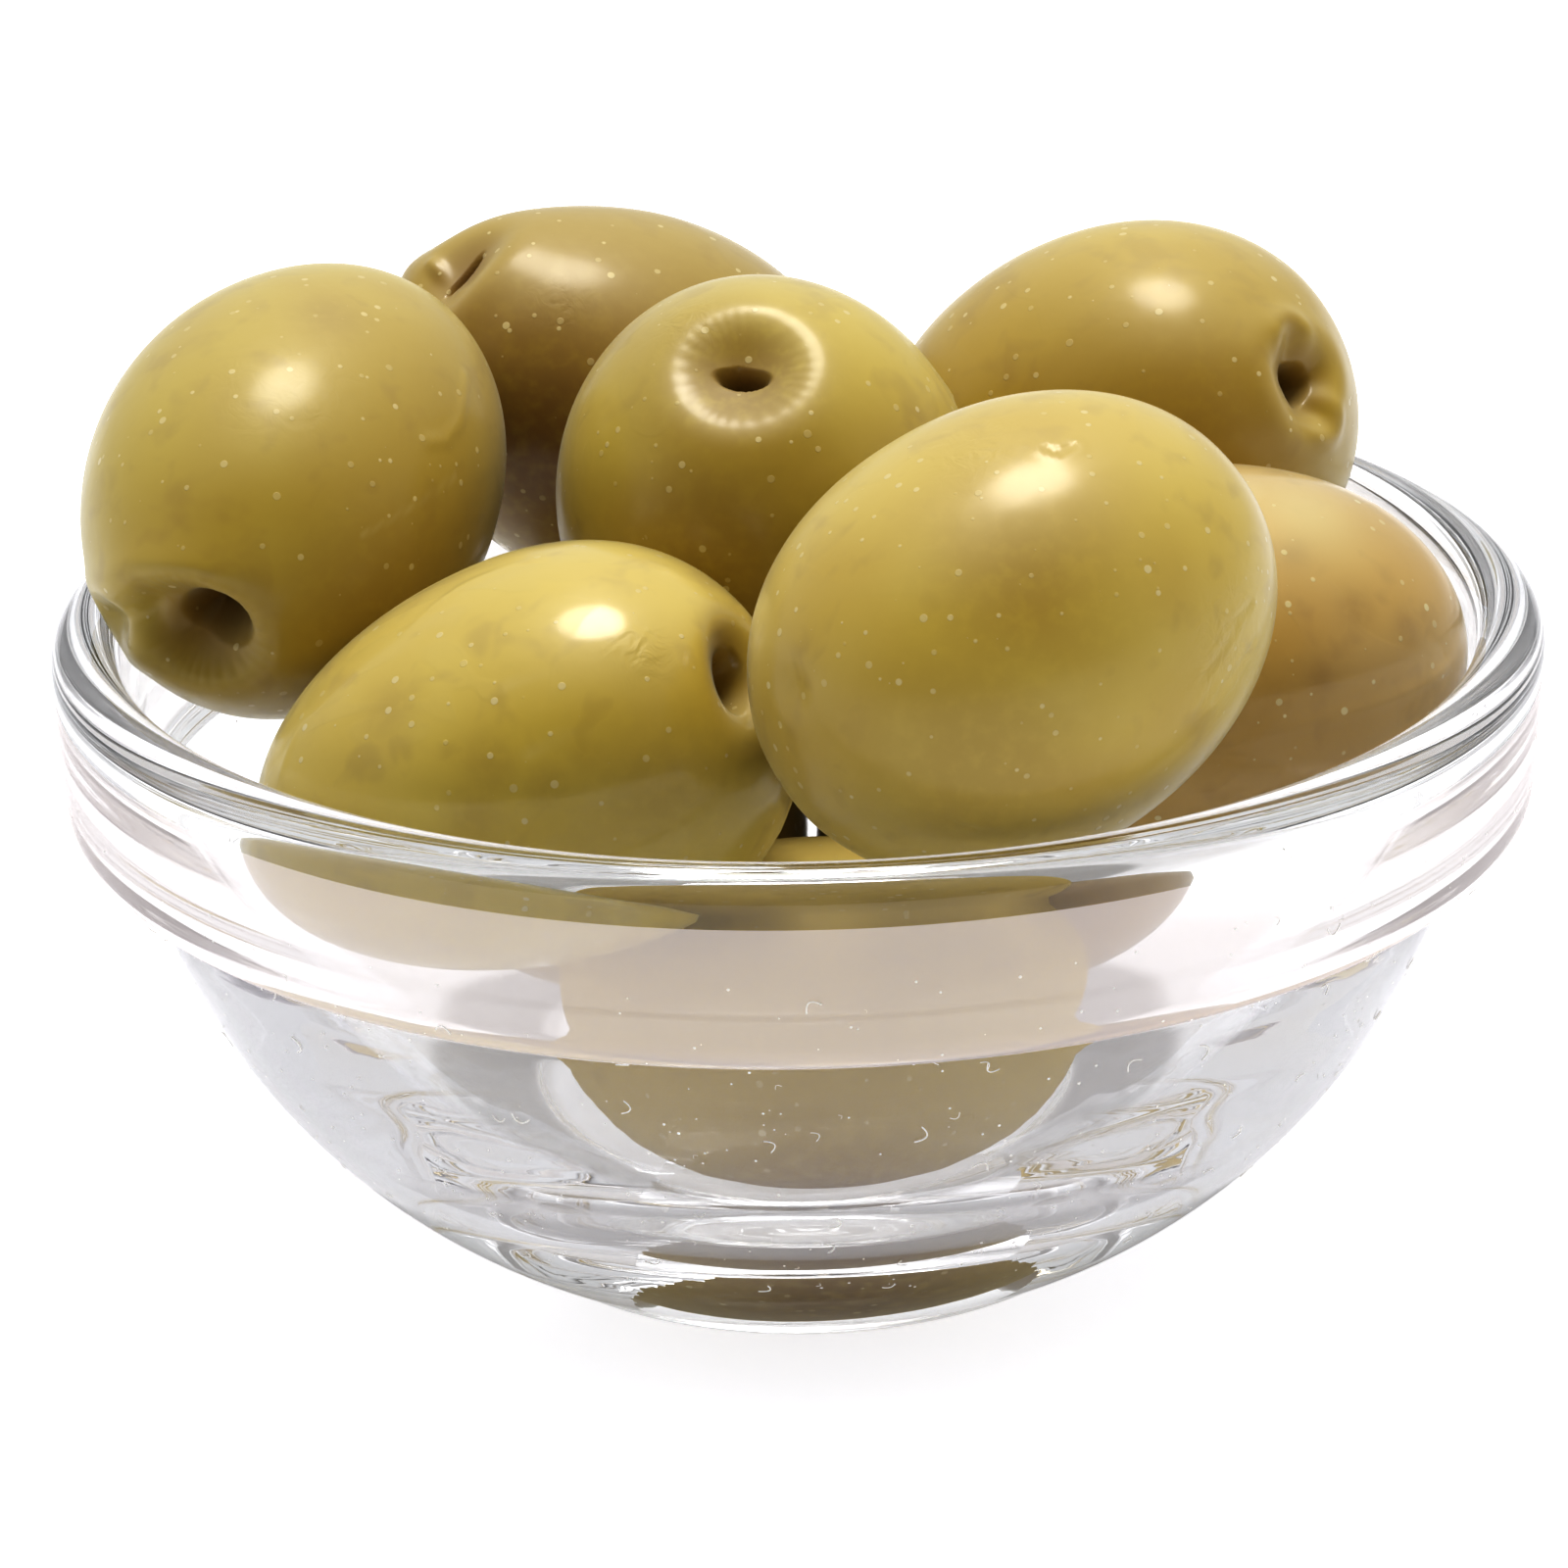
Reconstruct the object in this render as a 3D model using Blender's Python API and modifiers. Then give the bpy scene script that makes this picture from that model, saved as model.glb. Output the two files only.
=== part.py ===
"""A small clear glass bowl heaped with ten pitted green olives.

Lengths are in metres and +Z is up. The origin is the middle of the bowl's flat foot, and -Y is the front.
"""

import math

import bmesh
import bpy

MM = 0.001

# Bowl: driving dimensions
RIM_RADIUS = 30.0 * MM
BOWL_HEIGHT = 26.8 * MM
RIM_ROUND = 1.4 * MM
BAND_FOOT_RADIUS = 29.6 * MM
BAND_FOOT_HEIGHT = 18.4 * MM
BAND_FOOT_ROUND = 1.6 * MM
BODY_ARC_RADIUS = 26.1 * MM
BODY_ARC_OFFSET = 1.5 * MM
BODY_ARC_HEIGHT = 24.1 * MM
INNER_RADIUS = 27.3 * MM
INNER_HEIGHT = 28.0 * MM
FLOOR_THICKNESS = 3.0 * MM
FOOT_ROUND = 0.4 * MM

# Olives: what they share
HOLE_LIP_RADIUS = 3.1 * MM
HOLE_LIP_ROUND = 0.9 * MM
HOLE_DEPTH = 4.2 * MM
HOLE_TAPER = 0.75

# Fineness of the turned shapes
BOWL_STEPS = 60
OLIVE_STEPS = 20
OLIVE_RINGS = 12
MERGE_DISTANCE = 0.00001

# Olives: where each one lies
#   centre: its middle, in millimetres
#   turn: compass direction of the pitted end, in degrees from +X towards +Y
#   lift: how far the pitted end points up, in degrees
#   length, width: its size, in millimetres
#   taper: how much wider the pitted end is than the other
#   fullness: 2 is an ellipse, more has blunter ends
#   skin: colour of the skin
YELLOW_GREEN = (0.42, 0.34, 0.07)
OLIVE_GREEN = (0.35, 0.28, 0.06)
BROWN_GREEN = (0.33, 0.23, 0.07)

OLIVES = {
    "olive_left": dict(
        centre=(-20.1, 1.5, 31.4), turn=-109, lift=-16, length=22.0, width=16.4,
        taper=0.00, fullness=2.0, skin=OLIVE_GREEN,
    ),
    "olive_back_left": dict(
        centre=(-6.9, 18.2, 29.2), turn=-160, lift=31, length=21.5, width=16.0,
        taper=-0.05, fullness=2.1, skin=BROWN_GREEN,
    ),
    "olive_centre": dict(
        centre=(-1.0, 2.1, 29.8), turn=-103, lift=57, length=20.7, width=17.0,
        taper=0.05, fullness=2.1, skin=OLIVE_GREEN,
    ),
    "olive_front_left": dict(
        centre=(-10.7, -12.9, 24.6), turn=0, lift=21, length=21.7, width=16.4,
        taper=0.10, fullness=2.1, skin=YELLOW_GREEN,
    ),
    "olive_front_right": dict(
        centre=(8.2, -18.3, 32.0), turn=-158, lift=-26, length=21.0, width=17.3,
        taper=0.03, fullness=2.1, skin=YELLOW_GREEN,
    ),
    "olive_back_right": dict(
        centre=(13.3, 13.4, 29.3), turn=-19, lift=21, length=20.5, width=16.6,
        taper=0.07, fullness=2.1, skin=OLIVE_GREEN,
    ),
    "olive_right": dict(
        centre=(16.4, -3.3, 24.9), turn=-166, lift=-2, length=21.2, width=16.5,
        taper=0.07, fullness=2.0, skin=BROWN_GREEN,
    ),
    "olive_low_front": dict(
        centre=(0.8, -9.1, 11.4), turn=174, lift=-3, length=21.6, width=16.0,
        taper=0.02, fullness=2.2, skin=OLIVE_GREEN,
    ),
    "olive_low_back_left": dict(
        centre=(-8.0, 8.0, 13.3), turn=88, lift=40, length=20.9, width=16.6,
        taper=0.01, fullness=2.1, skin=OLIVE_GREEN,
    ),
    "olive_low_back_right": dict(
        centre=(8.8, 7.2, 13.1), turn=98, lift=23, length=20.6, width=16.2,
        taper=0.00, fullness=2.1, skin=BROWN_GREEN,
    ),
}

# Finishes
GLASS_COLOUR = (0.96, 0.98, 0.97)
GLASS_ROUGHNESS = 0.02
GLASS_IOR = 1.5
SKIN_ROUGHNESS = 0.28


def clear_scene():
    for obj in list(bpy.data.objects):
        bpy.data.objects.remove(obj, do_unlink=True)


def arc(centre, radius, start, end, count):
    """Points of an arc in the (radius, height) plane, its angles in degrees from the outward direction."""
    points = []
    for index in range(count + 1):
        angle = math.radians(start + (end - start) * index / count)
        points.append((centre[0] + radius * math.cos(angle), centre[1] + radius * math.sin(angle)))
    return points


def turned(name, profile, steps, collection):
    """A solid turned about its own Z axis from a profile that starts and ends on that axis."""
    mesh = bpy.data.meshes.new(name)
    edges = [(index, index + 1) for index in range(len(profile) - 1)]
    mesh.from_pydata([(radius, 0.0, height) for radius, height in profile], edges, [])
    obj = bpy.data.objects.new(name, mesh)
    collection.objects.link(obj)
    screw = obj.modifiers.new("Turn", "SCREW")
    screw.axis = "Z"
    screw.angle = math.tau
    screw.steps = steps
    screw.render_steps = steps
    screw.use_merge_vertices = True
    screw.merge_threshold = MERGE_DISTANCE
    screw.use_smooth_shade = True
    return obj


def bowl_profile():
    """From the middle of the inner floor up the inside, over the rim and down the outside to the foot."""
    floor_drop = INNER_HEIGHT - FLOOR_THICKNESS
    floor_angle = -math.degrees(math.asin(floor_drop / INNER_RADIUS))
    rim_centre = (RIM_RADIUS - RIM_ROUND, BOWL_HEIGHT - RIM_ROUND)
    rim_inner_angle = -math.degrees(math.asin((INNER_HEIGHT - rim_centre[1]) / INNER_RADIUS))
    inside = arc((0.0, INNER_HEIGHT), INNER_RADIUS, floor_angle, rim_inner_angle - 2.0, 10)
    rim = arc(rim_centre, RIM_ROUND, 180.0, 0.0, 6)

    foot_centre = (BAND_FOOT_RADIUS - BAND_FOOT_ROUND, BAND_FOOT_HEIGHT + BAND_FOOT_ROUND)
    band = arc(foot_centre, BAND_FOOT_ROUND, 0.0, -90.0, 3)

    body_centre = (BODY_ARC_OFFSET, BODY_ARC_HEIGHT)
    body_top = -math.degrees(math.asin((BODY_ARC_HEIGHT - BAND_FOOT_HEIGHT) / BODY_ARC_RADIUS))
    body_foot = -math.degrees(math.asin((BODY_ARC_HEIGHT - FOOT_ROUND) / BODY_ARC_RADIUS))
    body = arc(body_centre, BODY_ARC_RADIUS, body_top, body_foot, 9)
    foot_edge = (body[-1][0] - FOOT_ROUND, 0.0)
    return [(0.0, FLOOR_THICKNESS)] + inside + rim + band + body + [foot_edge, (0.0, 0.0)]


def olive_point(olive, angle):
    """A point of the skin's outline. The angle runs from 0 at the pitted end to 180 degrees at the other."""
    power = 2.0 / olive["fullness"]
    along = math.copysign(abs(math.cos(angle)) ** power, math.cos(angle))
    across = math.sin(angle) ** power * (1.0 + olive["taper"] * along)
    return across * olive["width"] / 2 * MM, along * olive["length"] / 2 * MM


def olive_profile(olive):
    """From the bottom of the pit hole up its wall, over the lip and down the skin to the far end."""
    end_radius = olive["width"] / 2 * MM * (1.0 + olive["taper"])
    lip_angle = math.asin((HOLE_LIP_RADIUS / end_radius) ** (olive["fullness"] / 2))
    lip = olive_point(olive, lip_angle)
    ahead = olive_point(olive, lip_angle + 0.01)
    slope = math.degrees(math.atan2(lip[1] - ahead[1], ahead[0] - lip[0]))
    tilt = math.radians(slope)
    round_centre = (
        lip[0] - HOLE_LIP_ROUND * math.sin(tilt),
        lip[1] - HOLE_LIP_ROUND * math.cos(tilt),
    )
    hole_radius = round_centre[0] - HOLE_LIP_ROUND
    hole_bottom = olive["length"] / 2 * MM - HOLE_DEPTH
    hole = [(0.0, hole_bottom), (hole_radius * HOLE_TAPER, hole_bottom + 0.3 * MM)]
    rounding = arc(round_centre, HOLE_LIP_ROUND, 180.0, 90.0 - slope, 3)
    skin = []
    for index in range(1, OLIVE_RINGS):
        share = index / OLIVE_RINGS
        skin.append(olive_point(olive, lip_angle + (math.pi - lip_angle) * share))
    return hole + rounding + skin + [(0.0, -olive["length"] / 2 * MM)]


def material(name, colour, roughness, transmission=0.0, ior=1.45):
    made = bpy.data.materials.new(name)
    made.use_nodes = True
    shader = made.node_tree.nodes["Principled BSDF"]
    shader.inputs["Base Color"].default_value = (*colour, 1.0)
    shader.inputs["Roughness"].default_value = roughness
    shader.inputs["Metallic"].default_value = 0.0
    shader.inputs["Transmission Weight"].default_value = transmission
    shader.inputs["IOR"].default_value = ior
    return made


def make_bowl(collection):
    bowl = turned("glass_bowl", bowl_profile(), BOWL_STEPS, collection)
    bowl.data.materials.append(
        material("clear_glass", GLASS_COLOUR, GLASS_ROUGHNESS, transmission=1.0, ior=GLASS_IOR)
    )
    return bowl


def make_olive(name, olive, collection):
    """One olive, turned about its long axis, which is then tilted and swung to where it lies."""
    obj = turned(name, olive_profile(olive), OLIVE_STEPS, collection)
    obj.location = [value * MM for value in olive["centre"]]
    obj.rotation_euler = (0.0, math.radians(90 - olive["lift"]), math.radians(olive["turn"]))
    obj.data.materials.append(material(name + "_skin", olive["skin"], SKIN_ROUGHNESS))
    return obj


def face_outward(obj):
    """Makes the turned solid a plain mesh whose faces all point out, smooth but for its true edges."""
    graph = bpy.context.evaluated_depsgraph_get()
    mesh = bpy.data.meshes.new_from_object(obj.evaluated_get(graph))
    solid = bmesh.new()
    solid.from_mesh(mesh)
    bmesh.ops.remove_doubles(solid, verts=solid.verts, dist=MERGE_DISTANCE)
    bmesh.ops.recalc_face_normals(solid, faces=solid.faces)
    solid.to_mesh(mesh)
    solid.free()
    mesh.shade_smooth()
    mesh.set_sharp_from_angle(angle=math.radians(50))
    obj.modifiers.clear()
    obj.data = mesh


def build():
    clear_scene()
    collection = bpy.data.collections.new("bowl_of_olives")
    bpy.context.scene.collection.children.link(collection)
    make_bowl(collection)
    for name, olive in OLIVES.items():
        make_olive(name, olive, collection)
    bpy.context.view_layer.update()
    for obj in collection.objects:
        face_outward(obj)


build()
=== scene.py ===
"""A small clear glass bowl heaped with pitted green olives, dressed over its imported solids.

Lengths are in metres, +Z is up and -Y is the front. Sizes of the olives are written in millimetres,
because their spots, dents and folds are easier to read that way.
"""
import math

import bmesh
import bpy
import numpy as np
from mathutils import Matrix, Vector
from mathutils.bvhtree import BVHTree


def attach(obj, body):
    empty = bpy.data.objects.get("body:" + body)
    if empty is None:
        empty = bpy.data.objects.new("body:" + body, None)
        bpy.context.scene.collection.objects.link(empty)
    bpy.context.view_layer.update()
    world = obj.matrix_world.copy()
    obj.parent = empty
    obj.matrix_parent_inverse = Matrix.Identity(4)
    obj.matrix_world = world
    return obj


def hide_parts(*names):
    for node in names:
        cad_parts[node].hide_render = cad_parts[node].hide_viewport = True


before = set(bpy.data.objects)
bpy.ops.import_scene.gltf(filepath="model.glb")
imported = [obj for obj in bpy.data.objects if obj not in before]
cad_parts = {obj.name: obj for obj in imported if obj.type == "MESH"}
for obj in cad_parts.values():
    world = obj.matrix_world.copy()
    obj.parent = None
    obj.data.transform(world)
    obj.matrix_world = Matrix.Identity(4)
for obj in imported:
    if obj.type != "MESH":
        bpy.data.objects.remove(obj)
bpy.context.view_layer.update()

MM = 0.001


# Camera and picture frame
# The photograph is a level-headed product shot from a little above, with a long lens.
# It is set first, because spots on the olives are named by where the photograph shows them.
PHOTO_SIZE = 1600
LENS_MM = 200.4
SENSOR_MM = 36.0
CAMERA_DISTANCE = 330.0
CAMERA_HEIGHT = 146.2
CAMERA_PITCH = 0.368
CAMERA_ROLL = -0.0183
CAMERA_YAW = -0.002


def camera_axes():
    """Unit vectors that point right, up and forward in the picture."""
    cos_pitch = math.cos(CAMERA_PITCH)
    forward = Vector((
        math.sin(CAMERA_YAW) * cos_pitch,
        math.cos(CAMERA_YAW) * cos_pitch,
        -math.sin(CAMERA_PITCH),
    ))
    level = Vector((math.cos(CAMERA_YAW), -math.sin(CAMERA_YAW), 0.0))
    upright = level.cross(forward)
    right = math.cos(CAMERA_ROLL) * level + math.sin(CAMERA_ROLL) * upright
    up = -math.sin(CAMERA_ROLL) * level + math.cos(CAMERA_ROLL) * upright
    return right, up, forward


def new_object(name, data):
    """A new object, put into the scene."""
    made = bpy.data.objects.new(name, data)
    bpy.context.scene.collection.objects.link(made)
    return made


camera = new_object("camera", bpy.data.cameras.new("camera"))
picture_right, picture_up, picture_forward = camera_axes()
camera_place = Vector((0.0, -CAMERA_DISTANCE, CAMERA_HEIGHT)) * MM
camera.matrix_world = Matrix.Translation(camera_place) @ Matrix(
    (picture_right, picture_up, -picture_forward)
).transposed().to_4x4()
camera.data.sensor_width = SENSOR_MM
camera.data.lens = LENS_MM
bpy.context.scene.camera = camera


def sight_line(x, y):
    """The unit vector from the camera through a pixel of the photograph."""
    focal = LENS_MM / SENSOR_MM * PHOTO_SIZE
    across = (x - PHOTO_SIZE / 2) / focal
    above = (PHOTO_SIZE / 2 - y) / focal
    return (picture_forward + across * picture_right + above * picture_up).normalized()


# Glass bowl
# The real bowl is pressed from clear soda-lime glass, with a thick upright band under the rim that
# lets such bowls stack. Its walls are a little wavy, and its thick edges look slightly grey-green.
RIM_RADIUS = 30.0 * MM
BOWL_HEIGHT = 26.8 * MM
RIM_ROUND = 1.4 * MM
BAND_FOOT_RADIUS = 29.6 * MM
BAND_FOOT_HEIGHT = 18.4 * MM
BAND_FOOT_ROUND = 1.6 * MM
STEP_FILLET = 0.35 * MM
BODY_ARC_RADIUS = 26.1 * MM
BODY_ARC_OFFSET = 1.5 * MM
BODY_ARC_HEIGHT = 24.1 * MM
INNER_RADIUS = 27.3 * MM
INNER_HEIGHT = 28.0 * MM
FLOOR_THICKNESS = 3.0 * MM
FLOOR_FILLET = 12.0 * MM
WALL_EASE = 0.136 * MM
WALL_EASE_HEIGHT = 7.6 * MM
WALL_EASE_REACH = 2.8 * MM
WALL_EASE_OUT = 0.8
WALL_EASE_DOWN = 0.6
FOOT_ROUND = 0.5 * MM
GLASS_IOR = 1.5
GLASS_TINT = (0.996, 0.999, 0.998)
TURNING = {"Steps": 240, "Profile Points": 300, "Waviness": 0.008 * MM, "Wave Scale": 55.0}
WELD_DISTANCE = 0.01 * MM
WAVES_FROM = 0.4 * MM
WAVES_FULL = 6.0 * MM


def arc(centre, radius, start, end, count):
    """Points of an arc in the (radius, height) plane, its angles in degrees from the outward direction."""
    points = []
    for index in range(count + 1):
        angle = math.radians(start + (end - start) * index / count)
        points.append((centre[0] + radius * math.cos(angle), centre[1] + radius * math.sin(angle)))
    return points


def bowl_profile():
    """From the middle of the inner floor up the inside, over the rim and down the outside to the foot."""
    # a circle of FLOOR_FILLET that touches both the flat floor and the round wall
    fillet_height = FLOOR_THICKNESS + FLOOR_FILLET
    fillet_reach = INNER_RADIUS - FLOOR_FILLET
    fillet_out = math.sqrt(fillet_reach ** 2 - (INNER_HEIGHT - fillet_height) ** 2)
    floor_angle = -math.degrees(math.asin((INNER_HEIGHT - fillet_height) / fillet_reach))
    floor_round = arc((fillet_out, fillet_height), FLOOR_FILLET, -90.0, floor_angle, 16)
    rim_centre = (RIM_RADIUS - RIM_ROUND, BOWL_HEIGHT - RIM_ROUND)
    rim_angle = -math.degrees(math.asin((INNER_HEIGHT - rim_centre[1]) / INNER_RADIUS))
    wall = floor_round + arc((0.0, INNER_HEIGHT), INNER_RADIUS, floor_angle + 1.0, rim_angle - 1.0, 72)
    # the wall is pressed a little thinner where it turns into the floor
    inside = []
    for radius, height in wall:
        share = min(abs(height - WALL_EASE_HEIGHT) / WALL_EASE_REACH, 1.0)
        ease = WALL_EASE * math.cos(share * math.pi / 2) ** 2
        inside.append((radius + WALL_EASE_OUT * ease, height - WALL_EASE_DOWN * ease))
    rim = arc(rim_centre, RIM_ROUND, 176.0, 4.0, 20)
    band_centre = (BAND_FOOT_RADIUS - BAND_FOOT_ROUND, BAND_FOOT_HEIGHT + BAND_FOOT_ROUND)
    band = arc(band_centre, BAND_FOOT_ROUND, -2.0, -88.0, 12)
    body_centre = (BODY_ARC_OFFSET, BODY_ARC_HEIGHT)
    body_top = -math.degrees(math.asin((BODY_ARC_HEIGHT - BAND_FOOT_HEIGHT) / BODY_ARC_RADIUS))
    body_foot = -math.degrees(math.asin((BODY_ARC_HEIGHT - FOOT_ROUND) / BODY_ARC_RADIUS))
    step = (BODY_ARC_OFFSET + BODY_ARC_RADIUS * math.cos(math.radians(body_top)), BAND_FOOT_HEIGHT)
    fillet = arc((step[0] + STEP_FILLET, step[1] - STEP_FILLET), STEP_FILLET, 90.0, 180.0, 4)
    body = arc(body_centre, BODY_ARC_RADIUS, body_top - 1.5, body_foot, 48)
    foot_edge = (body[-1][0] - FOOT_ROUND, 0.0)
    middle = [(0.0, FLOOR_THICKNESS)]
    return middle + inside + rim + band + fillet + body + [foot_edge, (0.0, 0.0)]


SOCKET_KINDS = {type(None): "Geometry", int: "Int", float: "Float", tuple: "Vector"}


def node_group(name, kind, inputs, outputs):
    """An empty node group, each input of the kind that its value has; none stands for geometry."""
    tree = bpy.data.node_groups.new(name, kind)
    for socket, value in inputs.items():
        is_colour = isinstance(value, tuple) and len(value) == 4
        sort = "Color" if is_colour else SOCKET_KINDS[type(value)]
        made = tree.interface.new_socket(socket, in_out="INPUT", socket_type="NodeSocket" + sort)
        if value is not None:
            made.default_value = value
    for socket, sort in outputs.items():
        tree.interface.new_socket(socket, in_out="OUTPUT", socket_type="NodeSocket" + sort)
    return tree


def add_node(tree, kind, inputs=None, **settings):
    """A new node with its settings, and with a plain value or a link for each input that is named."""
    node = tree.nodes.new(kind)
    for setting, value in settings.items():
        setattr(node, setting, value)
    for socket, value in (inputs or {}).items():
        if isinstance(value, bpy.types.NodeSocket):
            tree.links.new(value, node.inputs[socket])
        else:
            node.inputs[socket].default_value = value
    return node


def maths(tree, operation, first, second=0.0):
    """The outcome of one Math node on two values or links."""
    return add_node(tree, "ShaderNodeMath", {0: first, 1: second}, operation=operation).outputs[0]


def turning_tree(name, finish):
    """Geometry nodes that turn the profile curve they are given about Z, with a slight waviness."""
    tree = node_group(name, "GeometryNodeTree", {"Profile": None, **TURNING}, {"Turned": "Geometry"})
    given = add_node(tree, "NodeGroupInput").outputs
    grid = add_node(tree, "GeometryNodeMeshGrid", {
        "Size X": 1.0,
        "Size Y": 1.0,
        "Vertices X": given["Steps"],
        "Vertices Y": given["Profile Points"],
    })
    place = add_node(tree, "GeometryNodeInputPosition")
    split = add_node(tree, "ShaderNodeSeparateXYZ", {0: place.outputs[0]})
    sample = add_node(tree, "GeometryNodeSampleCurve", {
        "Curves": given["Profile"],
        "Factor": maths(tree, "ADD", split.outputs["Y"], 0.5),
    }, mode="FACTOR")
    swing = add_node(tree, "ShaderNodeVectorRotate", {
        "Vector": sample.outputs["Position"],
        "Angle": maths(tree, "MULTIPLY", split.outputs["X"], math.tau),
    }, rotation_type="Z_AXIS")
    turned = add_node(tree, "GeometryNodeSetPosition", {
        "Geometry": grid.outputs["Mesh"],
        "Position": swing.outputs[0],
    })
    weld = add_node(tree, "GeometryNodeMergeByDistance", {
        "Geometry": turned.outputs[0],
        "Distance": WELD_DISTANCE,
    })
    noise = add_node(tree, "ShaderNodeTexNoise", {"Detail": 1.0, "Scale": given["Wave Scale"]})
    above_foot = add_node(tree, "ShaderNodeMapRange", {
        "Value": split.outputs["Z"],
        "From Min": WAVES_FROM,
        "From Max": WAVES_FULL,
    })
    depth = maths(tree, "MULTIPLY", maths(tree, "SUBTRACT", noise.outputs["Fac"], 0.5), given["Waviness"])
    outward = add_node(tree, "GeometryNodeInputNormal")
    push = add_node(tree, "ShaderNodeVectorMath", {
        0: outward.outputs["Normal"],
        "Scale": maths(tree, "MULTIPLY", depth, above_foot.outputs["Result"]),
    }, operation="SCALE")
    wave = add_node(tree, "GeometryNodeSetPosition", {"Geometry": weld.outputs[0], "Offset": push.outputs[0]})
    smooth = add_node(tree, "GeometryNodeSetShadeSmooth", {"Geometry": wave.outputs[0]})
    real = add_node(tree, "GeometryNodeRealizeInstances", {"Geometry": smooth.outputs[0]})
    coat = add_node(tree, "GeometryNodeSetMaterial", {"Geometry": real.outputs[0], "Material": finish})
    add_node(tree, "NodeGroupOutput", {"Turned": coat.outputs[0]})
    return tree


def set_inputs(modifier, values):
    """Sets a node modifier's inputs by their sockets' identifiers."""
    for item in modifier.node_group.interface.items_tree:
        if item.item_type == "SOCKET" and item.in_out == "INPUT" and item.name in values:
            modifier[item.identifier] = values[item.name]


def plain_mesh(obj, name):
    """The evaluated object as a plain mesh object at the origin; the one it came from is removed."""
    bpy.context.view_layer.update()
    graph = bpy.context.evaluated_depsgraph_get()
    mesh = bpy.data.meshes.new_from_object(obj.evaluated_get(graph))
    mesh.name = name
    bpy.data.objects.remove(obj, do_unlink=True)
    return new_object(name, mesh)


def turn_faces_out(mesh):
    """Makes every face of a closed mesh look outward."""
    solid = bmesh.new()
    solid.from_mesh(mesh)
    bmesh.ops.recalc_face_normals(solid, faces=solid.faces)
    solid.to_mesh(mesh)
    solid.free()


def new_material(name):
    """A material with its own plain shader."""
    material = bpy.data.materials.new(name)
    material.use_nodes = True
    return material


def set_shader(material, values):
    """Sets or links the inputs of a material's own shader."""
    tree = material.node_tree
    shader = tree.nodes["Principled BSDF"]
    for socket, value in values.items():
        if isinstance(value, bpy.types.NodeSocket):
            tree.links.new(value, shader.inputs[socket])
        else:
            shader.inputs[socket].default_value = value


def glass_material(name, ior):
    """Clear pressed glass, very slightly grey-green, with a fire-polished skin."""
    glass = new_material(name)
    set_shader(glass, {
        "Base Color": (*GLASS_TINT, 1.0),
        "Roughness": 0.0,
        "IOR": ior,
        "Transmission Weight": 1.0,
    })
    return glass


def make_bowl():
    """The bowl as one closed mesh, turned from its profile by Geometry Nodes."""
    curve = bpy.data.curves.new("bowl_profile", "CURVE")
    curve.dimensions = "3D"
    line = curve.splines.new("POLY")
    profile = bowl_profile()
    line.points.add(len(profile) - 1)
    for point, (radius, height) in zip(line.points, profile):
        point.co = (radius, 0.0, height, 1.0)
    turned = new_object("bowl_profile", curve)
    glass = glass_material("clear_glass", GLASS_IOR)
    nodes = turned.modifiers.new("Turn", "NODES")
    nodes.node_group = turning_tree("turned_glass", glass)
    set_inputs(nodes, TURNING)
    bowl = plain_mesh(turned, "bowl_glass_shell")
    turn_faces_out(bowl.data)
    bowl.data.materials.clear()
    bowl.data.materials.append(glass)
    return bowl


bowl = make_bowl()
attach(bowl, "root")
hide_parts("glass_bowl")


# Left olive, and what all the olives share
# Each is a whole green olive with its pit pushed out of one end. The soft flesh leaves a dimpled
# hole there, and the thin waxy skin carries pale pores, brown bruises and a film of brine. Painted
# shade darkens the holes and some undersides, and a painted sheen lightens the tops.
AROUND = 220
RINGS_AT_HOLE = 90
RINGS_OF_BODY = 116
HOLE_ZONE = 0.95
LUMP_WAVES = 9
# shares of a groove's width
GROOVE_LIP_AT = 1.9
GROOVE_LIP_WIDTH = 0.8
# shares of a hole's radius, and how many fine folds lie round it
FUNNEL_WIDTH = 0.62
THROAT_EASE = 0.8
LIP_WIDTH = 0.5
PLEAT_AT = 0.95
PLEAT_WIDTH = 0.22
PLEAT_COUNT = 30
# skin that is turned away from a hole by more than this counts as far from it
TURNED_AWAY = -0.2
FAR_AWAY = 9.0
# how many of each pattern of the skin lie along a metre
MOTTLE_SCALE = 95.0
BRINE_SCALE = 120.0
RELIEF_SCALE = 330.0
PATCH_SCALE = 520.0
CREASE_SCALE = 1000.0
PORE_SCALE = 1200.0
GRAIN_SCALE = 1500.0
# what all skins share
SKIN_IOR = 1.45
MOTTLE = 0.45
DRY_ROUGHNESS = 0.42
GLOSS_SHARE = 0.6
WAX_TINT = (0.72, 0.88, 1.0)
RELIEF_STRENGTH = 0.35
RELIEF_HEIGHT = 0.22 * MM


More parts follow.
